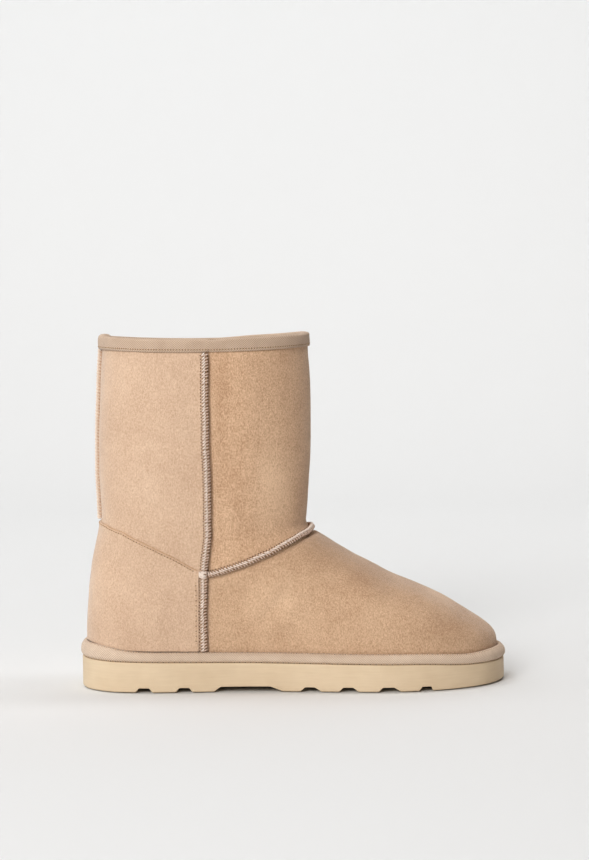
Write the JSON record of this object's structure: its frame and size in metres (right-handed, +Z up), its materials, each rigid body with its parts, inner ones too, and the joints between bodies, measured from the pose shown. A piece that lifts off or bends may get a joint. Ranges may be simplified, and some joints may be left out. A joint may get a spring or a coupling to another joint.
{
  "type": "sheepskin boot",
  "caption": "Short pull-on sheepskin boot in sand suede, with raised outside seams, bound collar, bound rand and a pale foam sole.",
  "frame": {"origin": "centre of the standing boot's footprint box, on the floor", "axes": "+X towards the toe, +Y towards the inner side of the foot, +Z up"},
  "size_m": [0.272, 0.1062, 0.223],
  "materials": {
    "suede": "napped sand suede",
    "foam_sole": "pale beige foam rubber, smooth moulded sides",
    "twill_tape": "taupe twill binding tape",
    "seam_thread": "cream overlock thread",
    "fleece": "cream fleece pile"
  },
  "bodies": {
    "root": {"outsole": "foam_sole", "insole": "fleece", "upper": "suede", "heel_counter": "suede", "base_binding": "twill_tape", "collar_binding": "twill_tape", "side_seam_outer": "seam_thread", "side_seam_inner": "seam_thread", "instep_seam": "seam_thread", "back_seam": "seam_thread"}
  },
  "joints": []
}
